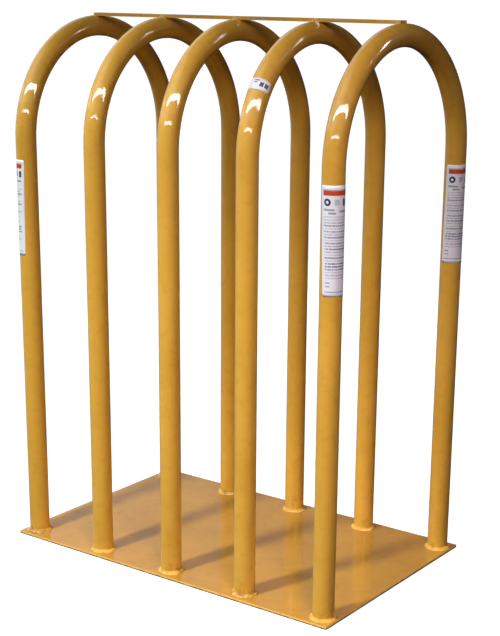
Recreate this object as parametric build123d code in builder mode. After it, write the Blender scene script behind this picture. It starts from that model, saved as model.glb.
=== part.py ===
from build123d import *
import os
from math import cos, degrees, radians, sin

# Five-hoop tyre inflation cage: hollow round-tube hoops stand in a row on a flat plate and a
# flat tie bar joins their crowns. Every joint is welded, so nothing on it moves.
#
# Frame: millimetres, +Z up, origin at the middle of the plate's underside, X along the row of
# hoops, -Y towards the front legs.

# ---- Driving dimensions ----
BASE_LENGTH = 968.0
BASE_WIDTH = 613.0
BASE_THICKNESS = 6.35
BASE_CORNER_RADIUS = 2.0
BASE_EDGE_RADIUS = 0.8

HOOP_COUNT = 5
HOOP_PITCH = 224.5
LEG_SPACING = 532.0
CROWN_HEIGHT = 1318.0
TUBE_DIAMETER = 50.8
TUBE_WALL = 3.2

TIE_WIDTH = 25.0
TIE_THICKNESS = 8.0
TIE_SADDLE_DEPTH = 2.0
TIE_EDGE_RADIUS = 0.6

FOOT_WELD_LEG = 8.0
FOOT_WELD_BULGE = 1.0
TIE_WELD_LENGTH = 26.0
TIE_END_WELD_LENGTH = 16.0      # the bar stops on the end hoops, so their beads are shorter
TIE_WELD_RADIUS = 6.0

LABEL_THICKNESS = 0.3
LEG_LABEL_HEIGHT = 236.0
LEG_LABEL_WRAP = 229.0          # degrees of the tube that a 4 inch label covers
BEND_LABEL_WIDTH = 25.4
BEND_LABEL_WRAP = 172.0         # degrees of the tube that a 3 inch label covers
BEND_LABEL_HOOP = 4
BEND_LABEL_ANGLE = 34.5         # degrees up the front bend from its spring line

# ---- Derived dimensions ----
TUBE_RADIUS = TUBE_DIAMETER / 2
BEND_RADIUS = LEG_SPACING / 2
SPRING_HEIGHT = CROWN_HEIGHT - TUBE_RADIUS - BEND_RADIUS
ROW_LENGTH = (HOOP_COUNT - 1) * HOOP_PITCH
HOOP_X = [index * HOOP_PITCH - ROW_LENGTH / 2 for index in range(HOOP_COUNT)]
TIE_UNDERSIDE = CROWN_HEIGHT - TIE_SADDLE_DEPTH
SIDES = {"front": -1, "rear": 1}

# One label on the outward side of each end leg: hoop number, side and lower edge's height.
LEG_LABELS = [(1, "front", 743.0), (1, "rear", 750.0), (5, "front", 760.0), (5, "rear", 753.0)]


def bend_axis(x):
    """The line that the hoop at x bends around."""
    return Axis((x, 0, SPRING_HEIGHT), (1, 0, 0))


def leg_plane(x, side, height):
    """A level plane centred on one leg, with its own X axis along the row."""
    return Plane(origin=(x, side * BEND_RADIUS, height))


def make_base_plate():
    """Flat floor plate with its long side along the row of hoops."""
    with BuildPart() as plate:
        with BuildSketch():
            RectangleRounded(BASE_LENGTH, BASE_WIDTH, BASE_CORNER_RADIUS)
        extrude(amount=BASE_THICKNESS)
        fillet(plate.faces().sort_by(Axis.Z)[-1].edges(), radius=BASE_EDGE_RADIUS)
    return plate.part


def make_hoop(x):
    """Inverted U of hollow round tube: two straight legs and a half-circle bend."""
    with BuildPart() as hoop:
        for side in SIDES.values():
            with BuildSketch(leg_plane(x, side, BASE_THICKNESS)):
                Circle(TUBE_RADIUS)
                Circle(TUBE_RADIUS - TUBE_WALL, mode=Mode.SUBTRACT)
            extrude(amount=SPRING_HEIGHT - BASE_THICKNESS)
        with BuildSketch(leg_plane(x, 1, SPRING_HEIGHT)):
            Circle(TUBE_RADIUS)
            Circle(TUBE_RADIUS - TUBE_WALL, mode=Mode.SUBTRACT)
        revolve(axis=bend_axis(x), revolution_arc=180)
    return hoop.part


def make_bend_core(x):
    """The solid outer shape of one bend, used only to cope what sits on the crown."""
    with BuildPart() as core:
        with BuildSketch(leg_plane(x, 1, SPRING_HEIGHT)):
            Circle(TUBE_RADIUS)
        revolve(axis=bend_axis(x), revolution_arc=180)
    return core.part


def make_tie_bar():
    """Flat bar over the crowns, coped to sit a little way down over each tube."""
    middle = TIE_UNDERSIDE + TIE_THICKNESS / 2
    with BuildPart() as bar:
        with Locations((0, 0, middle)):
            Box(ROW_LENGTH, TIE_WIDTH, TIE_THICKNESS)
        fillet(bar.faces().sort_by(Axis.Z)[-1].edges().filter_by(Axis.X), radius=TIE_EDGE_RADIUS)
        for x in HOOP_X:
            add(make_bend_core(x), mode=Mode.SUBTRACT)
    return bar.part


def make_foot_weld(x, side):
    """Fillet bead all round one foot, slightly crowned, between the tube and the plate."""
    plane = Plane(origin=(x, side * BEND_RADIUS, BASE_THICKNESS), x_dir=(1, 0, 0), z_dir=(0, -1, 0))
    with BuildPart() as bead:
        with BuildSketch(plane):
            with BuildLine():
                inner = (TUBE_RADIUS, 0)
                toe = (TUBE_RADIUS + FOOT_WELD_LEG, 0)
                top = (TUBE_RADIUS, FOOT_WELD_LEG)
                Line(inner, toe)
                SagittaArc(toe, top, -FOOT_WELD_BULGE)
                Line(top, inner)
            make_face()
        revolve(axis=Axis((x, side * BEND_RADIUS, 0), (0, 0, 1)))
    return bead.part


def make_tie_weld(number, side):
    """Tapered bead along one face of the tie bar where it crosses a crown."""
    x = HOOP_X[number - 1]
    half = TIE_WELD_LENGTH / 2
    middle = x
    if number in (1, HOOP_COUNT):
        half = TIE_END_WELD_LENGTH / 2
        middle = x - half if x > 0 else x + half
    root = (middle, side * TIE_WIDTH / 2, CROWN_HEIGHT)
    with BuildPart() as bead:
        with BuildSketch(Plane(origin=root)):
            with BuildLine():
                ThreePointArc((-half, 0), (0, TIE_WELD_RADIUS), (half, 0))
                Line((-half, 0), (half, 0))
            make_face()
        revolve(axis=Axis(root, (1, 0, 0)))
        with Locations((x, 0, CROWN_HEIGHT)):
            Box(TIE_WELD_LENGTH * 2, TIE_WIDTH, TIE_WELD_RADIUS * 4, mode=Mode.SUBTRACT)
        add(make_bend_core(x), mode=Mode.SUBTRACT)
    return bead.part


def wrap_sketch(plane, facing, wrap):
    """Section of a thin label on the tube: wrap degrees wide, centred on the facing angle."""
    start = facing - wrap / 2
    end = facing + wrap / 2
    inner = TUBE_RADIUS
    outer = TUBE_RADIUS + LABEL_THICKNESS
    with BuildSketch(plane) as section:
        with BuildLine():
            inside = CenterArc((0, 0), inner, start, wrap)
            outside = CenterArc((0, 0), outer, start, wrap)
            Line(inside @ 0, outside @ 0)
            Line(inside @ 1, outside @ 1)
        make_face()
    return section.sketch


def make_leg_label(hoop_number, side_name, lower_edge):
    """Plain label wrapped round an end leg, facing out along the row."""
    x = HOOP_X[hoop_number - 1]
    facing = 0 if x > 0 else 180
    plane = leg_plane(x, SIDES[side_name], lower_edge)
    with BuildPart() as label:
        add(wrap_sketch(plane, facing, LEG_LABEL_WRAP))
        extrude(amount=LEG_LABEL_HEIGHT)
    return label.part


def make_bend_label(hoop_number):
    """Short plain band round the outside of one hoop's front bend."""
    x = HOOP_X[hoop_number - 1]
    sweep_angle = degrees(BEND_LABEL_WIDTH / BEND_RADIUS)
    start = radians(BEND_LABEL_ANGLE - sweep_angle / 2)
    outward = (0, -cos(start), sin(start))
    along = (0, sin(start), cos(start))
    foot = (x, -BEND_RADIUS * cos(start), SPRING_HEIGHT + BEND_RADIUS * sin(start))
    with BuildPart() as label:
        add(wrap_sketch(Plane(origin=foot, x_dir=outward, z_dir=along), 0, BEND_LABEL_WRAP))
        revolve(axis=Axis((x, 0, SPRING_HEIGHT), (-1, 0, 0)), revolution_arc=sweep_angle)
    return label.part


def write_step(piece, name):
    """Label one finished piece and write it under its node's name."""
    piece.label = name
    export_step(piece, f"parts/{name}.step")


os.makedirs("parts", exist_ok=True)

write_step(make_base_plate(), "base_plate")
write_step(make_tie_bar(), "tie_bar")

for number, hoop_x in enumerate(HOOP_X, start=1):
    write_step(make_hoop(hoop_x), f"hoop_{number}")
    for side_name, side in SIDES.items():
        write_step(make_foot_weld(hoop_x, side), f"foot_weld_{side_name}_{number}")
        write_step(make_tie_weld(number, side), f"tie_weld_{side_name}_{number}")

for number, side_name, lower_edge in LEG_LABELS:
    write_step(make_leg_label(number, side_name, lower_edge), f"leg_label_{side_name}_{number}")

write_step(make_bend_label(BEND_LABEL_HOOP), "bend_label")
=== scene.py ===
"""Looks for the five-hoop tyre inflation cage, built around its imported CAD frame.

Metres, in the CAD frame: +Z up, X along the row of hoops, -Y towards the front legs.
"""
import math

import bmesh
import bpy
from mathutils import Matrix, Vector, noise


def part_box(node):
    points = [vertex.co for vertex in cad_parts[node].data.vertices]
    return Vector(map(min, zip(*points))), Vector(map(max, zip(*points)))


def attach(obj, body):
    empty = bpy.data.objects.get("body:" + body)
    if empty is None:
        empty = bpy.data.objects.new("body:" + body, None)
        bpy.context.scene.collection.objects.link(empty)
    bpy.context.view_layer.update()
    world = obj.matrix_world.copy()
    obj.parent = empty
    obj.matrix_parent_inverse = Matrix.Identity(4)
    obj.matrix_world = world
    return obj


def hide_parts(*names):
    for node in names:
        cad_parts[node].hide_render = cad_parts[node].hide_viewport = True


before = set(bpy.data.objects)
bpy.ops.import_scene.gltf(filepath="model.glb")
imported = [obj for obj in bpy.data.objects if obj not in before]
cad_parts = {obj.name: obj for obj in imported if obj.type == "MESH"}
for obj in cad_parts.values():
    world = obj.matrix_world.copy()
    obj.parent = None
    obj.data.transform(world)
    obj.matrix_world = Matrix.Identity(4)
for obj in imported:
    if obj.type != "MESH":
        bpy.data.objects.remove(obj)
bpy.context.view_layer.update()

BODY = "root"
HOOPS = range(1, 6)
END_HOOPS = (1, 5)
SIDES = {"front": -1, "rear": 1}

TUBE_RADIUS = 0.0254
BASE_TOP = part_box("base_plate")[1].z
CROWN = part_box("hoop_3")[1].z
LEG_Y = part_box("hoop_3")[1].y - TUBE_RADIUS
SPRING_Z = CROWN - TUBE_RADIUS - LEG_Y
HOOP_X = {n: (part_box(f"hoop_{n}")[0].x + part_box(f"hoop_{n}")[1].x) / 2 for n in HOOPS}
TIE_LOW, TIE_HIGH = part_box("tie_bar")
TIE_HALF_WIDTH = (TIE_HIGH.y - TIE_LOW.y) / 2

# Paint and ink colours, sRGB 0-255
OCHRE = ((224, 175, 64), (233, 184, 73))
# Same ochre enamel as the hoops, made darker for the base plate: painted shade
OCHRE_PLATE_SHADED = ((184, 134, 46), (197, 146, 54))
STAIN = (196, 128, 34)
RUN = (190, 126, 32)
SPECK = (120, 78, 30)
DIRT = (104, 78, 46)
# Painted highlight on the plate's edges and side faces
PAINTED_EDGE_HIGHLIGHT = (250, 204, 104)
# Painted shadow along the foot of the plate's edges
PAINTED_EDGE_SHADOW = (62, 46, 28)
VINYL = ((246, 252, 255), (238, 248, 255))
SLATE = (44, 62, 92)
GREY = (112, 124, 156)
ORANGE = (206, 74, 24)
BLUE = (62, 78, 120)
PALE_BLUE = (130, 142, 172)
WHITE = (1.0, 1.0, 1.0, 1.0)


def linear(r, g, b):
    """sRGB 0-255 to a linear colour with alpha."""
    def one(c):
        c /= 255
        return c / 12.92 if c <= 0.04045 else ((c + 0.055) / 1.055) ** 2.4
    return (one(r), one(g), one(b), 1.0)


# ---- Shader building blocks ----
class Shader:
    """A material or world node tree with short calls for the nodes used here."""

    def __init__(self, owner):
        owner.use_nodes = True
        self.tree = owner.node_tree
        self.tree.nodes.clear()

    def add(self, kind, inputs=None, **settings):
        node = self.tree.nodes.new(kind)
        for key, value in settings.items():
            setattr(node, key, value)
        for key, value in (inputs or {}).items():
            self.feed(node, key, value)
        return node

    def feed(self, node, key, value):
        socket = node.inputs[key]
        if isinstance(value, bpy.types.NodeSocket):
            self.tree.links.new(value, socket)
        else:
            socket.default_value = value

    def math(self, operation, a, b=0.5):
        return self.add("ShaderNodeMath", {0: a, 1: b}, operation=operation).outputs[0]

    def times(self, a, b):
        return self.math("MULTIPLY", a, b)

    def between(self, value, low, high):
        """1 where value lies between low and high, otherwise 0."""
        above = self.math("GREATER_THAN", value, low)
        below = self.math("LESS_THAN", value, high)
        return self.times(above, below)

    def noise(self, vector, scale, detail=3.0, roughness=0.5):
        inputs = {"Vector": vector, "Scale": scale, "Detail": detail, "Roughness": roughness}
        return self.add("ShaderNodeTexNoise", inputs).outputs["Fac"]

    def remap(self, value, low, high, new_low=0.0, new_high=1.0):
        inputs = {"Value": value, "From Min": low, "From Max": high,
                  "To Min": new_low, "To Max": new_high}
        node = self.add("ShaderNodeMapRange", inputs, interpolation_type="SMOOTHSTEP")
        return node.outputs["Result"]

    def mix(self, factor, a, b, blend="MIX"):
        node = self.add("ShaderNodeMix", data_type="RGBA", blend_type=blend)
        for index, value in ((0, factor), (6, a), (7, b)):
            self.feed(node, index, value)
        return node.outputs[2]

    def tint(self, colour, ink, mask, strength=1.0):
        """Lay an sRGB ink over a colour where the mask says."""
        return self.mix(self.times(mask, strength), colour, linear(*ink))

    def stretch(self, vector, scale):
        return self.add("ShaderNodeMapping", {"Vector": vector, "Scale": scale}).outputs["Vector"]

    def combine(self, x, y):
        return self.add("ShaderNodeCombineXYZ", {"X": x, "Y": y}).outputs["Vector"]

    def split(self, vector):
        return self.add("ShaderNodeSeparateXYZ", {"Vector": vector}).outputs

    def bump(self, height, strength, distance, normal=None):
        inputs = {"Height": height, "Strength": strength, "Distance": distance}
        if normal is not None:
            inputs["Normal"] = normal
        return self.add("ShaderNodeBump", inputs).outputs["Normal"]

    def principled(self, **inputs):
        """Finish a material with a principled surface; spaces in socket names are written _."""
        named = {key.replace("_", " "): value for key, value in inputs.items()}
        surface = self.add("ShaderNodeBsdfPrincipled", named)
        output = self.add("ShaderNodeOutputMaterial")
        self.tree.links.new(surface.outputs["BSDF"], output.inputs["Surface"])


# ---- Paint ----
DIRT_TOP = 0.06                 # height at which dirt from the floor fades out
DIRT_FULL = 0.006
ENAMEL = {"Specular_IOR_Level": 0.1, "Coat_Weight": 1.0, "Coat_Roughness": 0.03, "IOR": 1.5}


def paint_edge_highlight_and_shadow(s, colour, place, height, edge_shadow_height):
    """Paint a highlight on a plate's edges and side faces, and a painted shadow along its lower
    arris up to the given height.
    """
    upright = s.split(s.add("ShaderNodeNewGeometry").outputs["Normal"])["Z"]
    # Painted highlight: faces that don't face straight up are lightened.
    colour = s.tint(colour, PAINTED_EDGE_HIGHLIGHT, s.remap(upright, 0.97, 0.80))
    # Painted shadow: a dark line with a ragged top along the foot of the edge.
    wander = s.remap(s.noise(place, 90.0, 3.0), 0.3, 0.7, -0.0006, 0.0006)
    ragged = s.math("ADD", height, wander)
    return s.tint(colour, PAINTED_EDGE_SHADOW, s.remap(ragged, edge_shadow_height, edge_shadow_height * 0.7))


def paint_material(name, tones=OCHRE, orange_peel=0.10, grime=0.5, edge_shadow_height=None):
    """Glossy ochre enamel with orange peel, faint runs, tonal drift and dirt near the floor;
    optionally a painted edge highlight and a painted shadow line at the foot.
    """
    material = bpy.data.materials.new(name)
    s = Shader(material)
    place = s.add("ShaderNodeTexCoord").outputs["Object"]
    height = s.split(place)["Z"]

    drift = s.remap(s.noise(place, 5.0, 4.0), 0.3, 0.7)
    colour = s.mix(drift, linear(*tones[0]), linear(*tones[1]))
    mottle = s.remap(s.noise(place, 42.0, 4.0, 0.6), 0.45, 0.75)
    colour = s.tint(colour, STAIN, mottle, 0.22)
    runs = s.remap(s.noise(s.stretch(place, (60.0, 60.0, 3.0)), 1.0, 3.0), 0.55, 0.75)
    colour = s.tint(colour, RUN, runs, 0.16)
    specks = s.remap(s.noise(place, 190.0, 2.0), 0.70, 0.78)
    colour = s.tint(colour, SPECK, specks, 0.30)
    patches = s.remap(s.noise(place, 38.0, 5.0, 0.65), 0.48, 0.68)
    dirt = s.times(s.times(s.remap(height, DIRT_TOP, DIRT_FULL), patches), grime)
    colour = s.tint(colour, DIRT, dirt)
    # Painted edge highlight and painted shadow line at the foot, for the plate.
    if edge_shadow_height is not None:
        colour = paint_edge_highlight_and_shadow(s, colour, place, height, edge_shadow_height)

    wear = s.remap(s.noise(place, 24.0, 6.0, 0.6), 0.35, 0.75, 0.30, 0.45)
    rough = s.math("ADD", wear, s.times(dirt, 0.3))
    normal = s.bump(s.noise(place, 60.0, 2.0), orange_peel, 0.0010)
    normal = s.bump(s.noise(place, 420.0, 2.0), orange_peel, 0.0003, normal)
    s.principled(Base_Color=colour, Roughness=rough, Normal=normal, Coat_Normal=normal, **ENAMEL)
    return material


# ---- Label print ----
class LabelPrint:
    """Ink on a label, placed in metres across from its middle and up from its foot."""

    def __init__(self, shader, colour, place):
        self.shader = shader
        self.colour = colour
        axes = shader.split(place)
        self.across, self.up = axes["X"], axes["Y"]

    def block(self, left, right, bottom, top, ink, strength=1.0):
        """Solid rectangle."""
        s = self.shader
        area = s.times(s.between(self.across, left, right), s.between(self.up, bottom, top))
        self.colour = s.tint(self.colour, ink, area, strength)

    def ring(self, x, y, inner, outer, ink):
        """Plain ring round a point."""
        s = self.shader
        dx, dy = s.math("SUBTRACT", self.across, x), s.math("SUBTRACT", self.up, y)
        radius = s.math("SQRT", s.math("ADD", s.times(dx, dx), s.times(dy, dy)))
        self.colour = s.tint(self.colour, ink, s.between(radius, inner, outer))

    def rules(self, pitch, left, shortest, longest, bottom, top, ink):
        """Ragged, broken rules of uneven weight, level with each other on the left."""
        s = self.shader
        rows = s.math("DIVIDE", self.up, pitch)
        row, phase = s.math("FLOOR", rows), s.math("FRACT", rows)
        row_place = s.combine(row, 3.7)
        tone = s.add("ShaderNodeTexWhiteNoise", {"Vector": row_place}, noise_dimensions="3D")
        reach = s.remap(tone.outputs["Value"], 0.0, 1.0, shortest, longest)
        unevenness = s.noise(s.stretch(row_place, (7.3, 1.0, 1.0)), 1.0, 0.0)
        weight = s.remap(unevenness, 0.35, 0.65, 0.30, 0.88)
        breaks = s.noise(s.stretch(s.combine(self.across, row), (260.0, 5.3, 1.0)), 1.0, 1.0)
        chunks = s.remap(breaks, 0.38, 0.48, 0.45, 1.0)
        line = s.times(s.between(phase, 0.22, 0.78), s.between(self.across, left, reach))
        area = s.times(line, s.between(self.up, bottom, top))
        self.colour = s.tint(self.colour, ink, s.times(area, s.times(weight, chunks)))


def leg_label_marks(ink):
    """Orange band, a row of plain shapes, ragged grey rules and a thin line at the foot."""
    ink.block(-0.044, 0.044, 0.2262, 0.2274, SLATE, 0.8)
    ink.block(-0.044, 0.044, 0.2150, 0.2255, ORANGE)
    for x in (-0.034, 0.022):
        ink.ring(x, 0.2010, 0.0032, 0.0078, SLATE)
    ink.block(-0.018, -0.008, 0.1950, 0.2070, GREY, 0.45)
    for x in (0.002, 0.036):
        ink.block(x, x + 0.007, 0.1935, 0.2085, SLATE)
    headings = ((-0.043, 0.183, 0.024), (-0.032, 0.176, 0.016),
                (-0.008, 0.180, 0.020), (0.018, 0.182, 0.024))
    for x, y, length in headings:
        ink.block(x, x + length, y, y + 0.0042, SLATE, 0.6)
    ink.rules(0.0062, -0.043, 0.022, 0.044, 0.036, 0.172, GREY)
    for y in (0.029, 0.021):
        ink.block(-0.043, -0.033, y, y + 0.0025, GREY, 0.8)
    ink.block(-0.045, 0.045, 0.0095, 0.0115, GREY, 0.8)


def bend_label_marks(ink):
    """Two dark blocks and two short pale rules."""
    for x in (0.0115, 0.0230):
        ink.block(x, x + 0.0090, 0.0080, 0.0175, BLUE)
    for y, right in ((0.0190, 0.009), (0.0145, 0.005)):
        ink.block(-0.004, right, y, y + 0.0028, PALE_BLUE)


def label_material(name, draw_marks):
    """White vinyl printed with plain shapes, laid out on the piece's UV map."""
    material = bpy.data.materials.new(name)
    s = Shader(material)
    place = s.add("ShaderNodeUVMap", uv_map="label").outputs["UV"]
    white = s.mix(s.noise(place, 30.0, 4.0), linear(*VINYL[0]), linear(*VINYL[1]))
    ink = LabelPrint(s, white, place)
    draw_marks(ink)
    rough = s.remap(s.noise(place, 60.0, 3.0), 0.3, 0.7, 0.32, 0.45)
    normal = s.bump(s.noise(place, 150.0, 2.0), 0.08, 0.0003)
    s.principled(Base_Color=ink.colour, Roughness=rough, Normal=normal, IOR=1.46)
    return material


def floor_material():
    """Matt pale floor that glows just enough to look white to the camera."""
    material = bpy.data.materials.new("floor_pale")
    s = Shader(material)
    place = s.add("ShaderNodeTexCoord").outputs["Object"]
    tone = s.mix(s.noise(place, 0.8, 3.0), (0.30, 0.30, 0.30, 1.0), (0.34, 0.34, 0.34, 1.0))
    s.principled(Base_Color=tone, Roughness=0.9, Specular_IOR_Level=0.1,
                 Emission_Color=WHITE, Emission_Strength=0.93)
    return material


PAINT = paint_material("cage_paint")
# The plate gets the darker ochre as painted shade, a painted edge highlight and a painted shadow
# line at its foot
SHADED_PLATE_PAINT = paint_material("cage_paint_plate", OCHRE_PLATE_SHADED, grime=0.12, edge_shadow_height=0.0026)
WELD_PAINT = paint_material("weld_paint", orange_peel=0.05, grime=0.8)
LEG_LABEL_VINYL = label_material("label_vinyl_leg", leg_label_marks)
BEND_LABEL_VINYL = label_material("label_vinyl_bend", bend_label_marks)


# ---- Mesh helpers ----
def mesh_piece(name, bm, material):
    """A smooth-shaded object from a finished bmesh, which is freed."""
    bmesh.ops.recalc_face_normals(bm, faces=bm.faces)
    for face in bm.faces:
        face.smooth = True
    mesh = bpy.data.meshes.new(name)
    bm.to_mesh(mesh)
    bm.free()
    mesh.materials.append(material)
    piece = bpy.data.objects.new(name, mesh)
    bpy.context.scene.collection.objects.link(piece)
    return piece


def bead_piece(name, rows, joined):
    """A weld bead lofted through closed rows of points; joined closes the last on the first."""
    bm = bmesh.new()
    grid = [[bm.verts.new(p) for p in row] for row in rows]
    if joined:
        grid.append(grid[0])
    for a, b in zip(grid, grid[1:]):
        for j in range(len(a)):
            k = (j + 1) % len(a)
            bm.faces.new((a[j], b[j], b[k], a[k]))
    bmesh.ops.remove_doubles(bm, verts=bm.verts, dist=1e-7)
    return mesh_piece(name, bm, WELD_PAINT)


def settle(piece, node):
    """Ride on the cage and stand for one CAD node, which is hidden."""
    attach(piece, BODY)
    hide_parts(node)


# ---- Welds ----
EMBED = 0.0006                  # how far the hidden sides of a bead lie inside what it joins

FOOT_STEPS_AROUND, FOOT_STEPS_UP = 384, 12
FOOT_LEG = 0.008
FOOT_RIPPLES = 64
FOOT_CREST = 0.00058
FOOT_SWELL = 0.0011
FOOT_TUCK = 0.0004              # how far the toes dip below the plate and into the tube

TIE_STEPS_ALONG, TIE_STEPS_ROUND = 72, 14
TIE_RADIUS = 0.0058
TIE_RIPPLES = 11
TIE_CREST = 0.00035
TIE_TUCK = 0.0003


def foot_weld(number, side_name):
    """Fillet bead round one foot: overlapping ripples whose toe wanders on the plate."""
    side = SIDES[side_name]
    centre = Vector((HOOP_X[number], side * LEG_Y, BASE_TOP))
    seed = Vector((number * 3.1, side * 5.7, 0.0))
    rows = []
    for i in range(FOOT_STEPS_AROUND):
        turn = 2 * math.pi * i / FOOT_STEPS_AROUND
        outward = Vector((math.cos(turn), math.sin(turn), 0))
        reach = FOOT_LEG * (0.90 + 0.08 * noise.noise(outward * 1.6 + seed))
        rise = FOOT_LEG * (0.88 + 0.10 * noise.noise(outward * 1.9 - seed))
        row = []
        for j in range(FOOT_STEPS_UP + 1):
            t = j / FOOT_STEPS_UP
            belly = math.sin(math.pi * t)
            phase = (turn * FOOT_RIPPLES / (2 * math.pi) + 0.55 * belly) % 1.0
            crest = FOOT_CREST * (1 - abs(2 * phase - 1)) ** 1.5
            swell = (FOOT_SWELL * belly + crest * belly ** 0.5) * 0.7
            out = TUBE_RADIUS + reach * (1 - t) + swell - FOOT_TUCK * t
            up = rise * t + swell - FOOT_TUCK * (1 - t)
            row.append(centre + outward * out + Vector((0, 0, up)))
        for up in (rise, -FOOT_TUCK):
            row.append(centre + outward * (TUBE_RADIUS - EMBED) + Vector((0, 0, up)))
        rows.append(row)
    piece = bead_piece(f"bead_foot_{side_name}_{number}", rows, joined=True)
    settle(piece, f"foot_weld_{side_name}_{number}")


def tie_weld(number, side_name):
    """Short rippled bead along one face of the tie bar on a crown, tapering at both ends."""
    node = f"tie_weld_{side_name}_{number}"
    low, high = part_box(node)
    side = SIDES[side_name]
    face_y = side * TIE_HALF_WIDTH
    length = (high.x - low.x) * 0.96
    middle = (low.x + high.x) / 2
    rows = []
    for i in range(TIE_STEPS_ALONG + 1):
        t = i / TIE_STEPS_ALONG
        x = middle + (t - 0.5) * length
        off_centre = x - HOOP_X[number]
        drop = math.sqrt(max(TUBE_RADIUS ** 2 - off_centre ** 2, 0))
        root_z = CROWN - TUBE_RADIUS + drop - EMBED
        size = max(math.sin(math.pi * t), 0.0) ** 0.55
        wobble = 1 + 0.10 * noise.noise(Vector((x * 160, number * 2.3, side)))
        crest = TIE_CREST * (1 - abs(2 * ((t * TIE_RIPPLES) % 1.0) - 1)) * size
        row = []
        for j in range(TIE_STEPS_ROUND + 1):
            angle = math.pi / 2 * j / TIE_STEPS_ROUND
            r = TIE_RADIUS * size * wobble * (1 - 0.22 * math.sin(2 * angle)) + crest
            y = face_y + side * (r * math.cos(angle) - TIE_TUCK)
            row.append(Vector((x, y, root_z + r * math.sin(angle))))
        row.append(Vector((x, face_y - side * EMBED, root_z)))
        rows.append(row)
    piece = bead_piece(f"bead_tie_{side_name}_{number}", rows, joined=False)
    settle(piece, node)


# ---- Labels ----
LABEL_CORNER = 0.004
LABEL_LIFTS = (0.00026, 0.00002)        # top and underside above the tube's surface

LEG_LABEL_LOW, LEG_LABEL_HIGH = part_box("leg_label_front_5")
LEG_LABEL_WRAP = math.radians(229)      # how much of the way round the tube it covers
LEG_LABEL_SIZE = (LEG_LABEL_WRAP * TUBE_RADIUS, LEG_LABEL_HIGH.z - LEG_LABEL_LOW.z)
LEG_LABEL_STEPS = (60, 40)
LEG_LABEL_TILT = {("front", 1): 0.02, ("rear", 1): -0.015,
                  ("front", 5): -0.045, ("rear", 5): 0.015}

BEND_LABEL_HOOP = 4
BEND_LABEL_WRAP = math.radians(172)
BEND_LABEL_SIZE = (BEND_LABEL_WRAP * TUBE_RADIUS, 0.0254)
BEND_LABEL_STEPS = (48, 10)
BEND_LABEL_ANGLE = math.radians(34.5)   # up the front bend from its spring line


def sleeve(name, node, place, size, steps, material, tilt=0.0):
    """Thin sticker with rounded corners laid on the tube.

    place(across, up, lift) gives the point that far across, up and off the tube, in metres.
    """
    wrap, height = size
    steps_across, steps_up = steps
    half = wrap / 2
    bm = bmesh.new()
    layer = bm.loops.layers.uv.new("label")
    where = {}
    top, under = [], []
    for i in range(steps_across + 1):
        across = -half + wrap * i / steps_across
        edge = max(abs(across) - (half - LABEL_CORNER), 0)
        trim = LABEL_CORNER - math.sqrt(max(LABEL_CORNER ** 2 - edge ** 2, 0))
        ups = [trim + (height - 2 * trim) * j / steps_up for j in range(steps_up + 1)]
        for grid, lift in zip((top, under), LABEL_LIFTS):
            row = []
            for up in ups:
                vert = bm.verts.new(place(across + tilt * (up - height / 2), up, lift))
                where[vert] = (across, up)
                row.append(vert)
            grid.append(row)
    for i in range(steps_across):
        a, b, c, d = top[i], top[i + 1], under[i], under[i + 1]
        for j in range(steps_up):
            bm.faces.new((a[j], b[j], b[j + 1], a[j + 1]))
            bm.faces.new((c[j + 1], d[j + 1], d[j], c[j]))
        bm.faces.new((c[0], d[0], b[0], a[0]))
        bm.faces.new((a[-1], b[-1], d[-1], c[-1]))
    for j in range(steps_up):
        bm.faces.new((top[0][j], top[0][j + 1], under[0][j + 1], under[0][j]))
        bm.faces.new((under[-1][j], under[-1][j + 1], top[-1][j + 1], top[-1][j]))
    for face in bm.faces:
        for loop in face.loops:
            loop[layer].uv = where[loop.vert]
    settle(mesh_piece(name, bm, material), node)


def leg_label(number, side_name):
    """Tall label on the outward side of an end leg."""
    node = f"leg_label_{side_name}_{number}"
    foot = Vector((HOOP_X[number], SIDES[side_name] * LEG_Y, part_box(node)[0].z))
    facing = 0.0 if number == END_HOOPS[-1] else math.pi

    def place(across, up, lift):
        angle = facing + across / TUBE_RADIUS
        radius = TUBE_RADIUS + lift
        return foot + Vector((radius * math.cos(angle), radius * math.sin(angle), up))

    sleeve(f"sticker_leg_{side_name}_{number}", node, place, LEG_LABEL_SIZE, LEG_LABEL_STEPS,
           LEG_LABEL_VINYL, LEG_LABEL_TILT[side_name, number])


def bend_label():
    """Short band round the outside of one hoop's front bend."""
    centre_x = HOOP_X[BEND_LABEL_HOOP]

    def place(across, up, lift):
        around = across / TUBE_RADIUS
        along = BEND_LABEL_ANGLE + (up - BEND_LABEL_SIZE[1] / 2) / LEG_Y
        radius = TUBE_RADIUS + lift
        out = LEG_Y + radius * math.cos(around)
        return Vector((centre_x + radius * math.sin(around), -out * math.cos(along),
                       SPRING_Z + out * math.sin(along)))

    sleeve("sticker_bend", "bend_label", place, BEND_LABEL_SIZE, BEND_LABEL_STEPS,
           BEND_LABEL_VINYL)


# ---- Dress the frame ----
paints = {"base_plate": SHADED_PLATE_PAINT, "tie_bar": PAINT}
paints.update({f"hoop_{n}": PAINT for n in HOOPS})
for name, paint in paints.items():
    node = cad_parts[name]
    node.data.materials.clear()
    node.data.materials.append(paint)

for number in HOOPS:
    for side_name in SIDES:
        foot_weld(number, side_name)
        tie_weld(number, side_name)
for number in END_HOOPS:
    for side_name in SIDES:
        leg_label(number, side_name)
bend_label()


# ---- Studio ----
CAMERA_PLACE = Vector((2.0502, -2.7348, 1.3947))
CAMERA_TURN = math.radians(35.718)
CAMERA_DOWN = math.radians(16.078)
CAMERA_ROLL = math.radians(0.592)
CAMERA_LENS = 79.40
CAMERA_SENSOR = 36.0
CAMERA_SHIFT = (-0.0217, 0.1123)
CAMERA_REACH = 1000

FLOOR_RADIUS, FLOOR_SIDES = 150.0, 96
FLOOR_DROP = 0.0005

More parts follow.
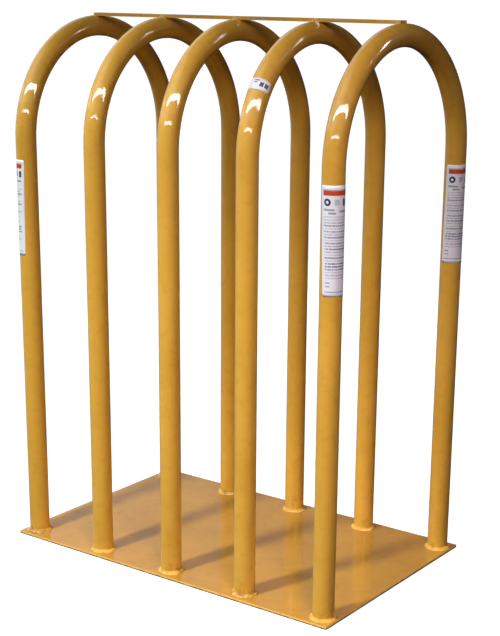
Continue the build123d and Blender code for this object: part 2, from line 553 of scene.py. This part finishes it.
# Soft white glows for lighting: azimuth, elevation, cosines at the edge and in full, strength
GLOWS = ((-120, 45, 0.80, 0.97, 1.48), (-178, 18, 0.50, 1.0, 0.55), (152, 26, 0.78, 1.0, 0.42))
GLOOM = 0.012

BEAM_AIM = Vector((0, -0.1, -0.8))      # low, so that the crowns get less than the legs
FILL_COLOUR = (1.0, 0.77, 0.80)
REAR_FILL_AIM = Vector((0, 0.1, 0.7))

STRIP_CENTRE = Vector((0, 0, 1.1))
STRIP_DISTANCE = 6.0
# From azimuth and elevation, to azimuth and elevation, height, radiance
STRIPS = {
    "strip_high": ((-124, 30), (-48, 35), 0.55, 26),
    "strip_right": ((-48, 35), (4, 12), 0.45, 22),
    "strip_low": ((-104, 17), (-30, 11), 0.18, 19),
    "strip_left": ((-178, 12), (-150, 20), 0.9, 1.3),
    "strip_crown": ((44, 12), (43, 23), 0.42, 20),
    "strip_crown_low": ((31, 18), (32, 22), 0.14, 16),
}


def direction(azimuth, elevation):
    """Unit vector from degrees round from +X and up from the horizon."""
    turn, rise = math.radians(azimuth), math.radians(elevation)
    return Vector((math.cos(rise) * math.cos(turn), math.cos(rise) * math.sin(turn),
                   math.sin(rise)))


def stand(name, data, right, up, back, place):
    """Put a camera or light in the scene with the given axes."""
    thing = bpy.data.objects.new(name, data)
    matrix = Matrix((right, up, back)).transposed().to_4x4()
    matrix.translation = place
    thing.matrix_world = matrix
    bpy.context.scene.collection.objects.link(thing)
    return thing


def add_camera():
    """Long lens to the right of the front legs, a little above the crowns, looking down."""
    ahead = Vector((-math.sin(CAMERA_TURN) * math.cos(CAMERA_DOWN),
                    math.cos(CAMERA_TURN) * math.cos(CAMERA_DOWN), -math.sin(CAMERA_DOWN)))
    level_right = Vector((math.cos(CAMERA_TURN), math.sin(CAMERA_TURN), 0))
    level_up = level_right.cross(ahead)
    right = math.cos(CAMERA_ROLL) * level_right + math.sin(CAMERA_ROLL) * level_up
    up = math.cos(CAMERA_ROLL) * level_up - math.sin(CAMERA_ROLL) * level_right
    data = bpy.data.cameras.new("camera")
    data.lens = CAMERA_LENS
    data.sensor_width = CAMERA_SENSOR
    data.shift_x, data.shift_y = CAMERA_SHIFT
    data.clip_end = CAMERA_REACH
    bpy.context.scene.camera = stand("camera", data, right, up, -ahead, CAMERA_PLACE)


def strip_light(name, start, end, height, radiance):
    """Long strip light between two directions, seen only in reflections in the enamel."""
    first, last = direction(*start) * STRIP_DISTANCE, direction(*end) * STRIP_DISTANCE
    middle = (first + last) / 2
    along = (last - first).normalized()
    back = (middle - along * middle.dot(along)).normalized()
    data = bpy.data.lights.new(name, "AREA")
    data.shape = "RECTANGLE"
    data.size = (last - first).length
    data.size_y = height
    data.energy = radiance * math.pi * data.size * data.size_y
    light = stand(name, data, along, back.cross(along), back, STRIP_CENTRE + middle)
    light.visible_diffuse = False


def soft_light(name, data, place, target):
    """Aim a light that gives soft shading and makes no highlight of its own."""
    back = (place - target).normalized()
    right = Vector((0, 0, 1)).cross(back).normalized()
    light = stand(name, data, right, back.cross(right), back, place)
    light.visible_glossy = False


def beam(name, power, spread, softness, place, colour=(1.0, 1.0, 1.0)):
    """Soft-edged lamp from above the front."""
    data = bpy.data.lights.new(name, "SPOT")
    data.energy = power
    data.color = colour
    data.spot_size = math.radians(spread)
    data.spot_blend = 1.0
    data.shadow_soft_size = softness
    soft_light(name, data, Vector(place), BEAM_AIM)


def rear_fill():
    """Weak soft box behind on the left, for the views from the back."""
    data = bpy.data.lights.new("rear_fill", "AREA")
    data.shape = "SQUARE"
    data.size = 1.5
    data.energy = 25
    soft_light("rear_fill", data, REAR_FILL_AIM + direction(130, 8) * 3.0, REAR_FILL_AIM)


def add_world():
    """Even white to the camera; for lighting, soft glows overhead, at the left and behind."""
    world = bpy.data.worlds.new("studio")
    bpy.context.scene.world = world
    s = Shader(world)
    toward = s.add("ShaderNodeTexCoord").outputs["Generated"]
    level = GLOOM
    for azimuth, elevation, edge, full, strength in GLOWS:
        facing = s.add("ShaderNodeVectorMath", {0: toward, 1: direction(azimuth, elevation)},
                       operation="DOT_PRODUCT").outputs["Value"]
        level = s.math("ADD", level, s.times(s.remap(facing, edge, full), strength))
    shade = s.mix(1.0, WHITE, level, "MULTIPLY")
    is_camera = s.add("ShaderNodeLightPath").outputs["Is Camera Ray"]
    colour = s.mix(is_camera, shade, WHITE)
    background = s.add("ShaderNodeBackground", {"Color": colour, "Strength": 1.0})
    output = s.add("ShaderNodeOutputWorld")
    s.tree.links.new(background.outputs["Background"], output.inputs["Surface"])


def add_floor():
    """Wide pale floor that the camera sees but that doesn't light the cage from below."""
    mesh = bpy.data.meshes.new("floor")
    bm = bmesh.new()
    bmesh.ops.create_circle(bm, cap_ends=True, segments=FLOOR_SIDES, radius=FLOOR_RADIUS)
    bm.to_mesh(mesh)
    bm.free()
    mesh.materials.append(floor_material())
    floor = bpy.data.objects.new("floor", mesh)
    floor.location.z = -FLOOR_DROP
    floor.visible_diffuse = False
    floor.visible_glossy = False
    bpy.context.scene.collection.objects.link(floor)


add_camera()
add_world()
add_floor()
beam("key", 700, 32, 0.20, (-0.53, -2.59, 4.17))
beam("fill", 220, 79, 0.45, (1.99, -1.79, 2.11), FILL_COLOUR)
rear_fill()
for name, (start, end, height, radiance) in STRIPS.items():
    strip_light(name, start, end, height, radiance)
bpy.context.scene.view_settings.view_transform = "Standard"
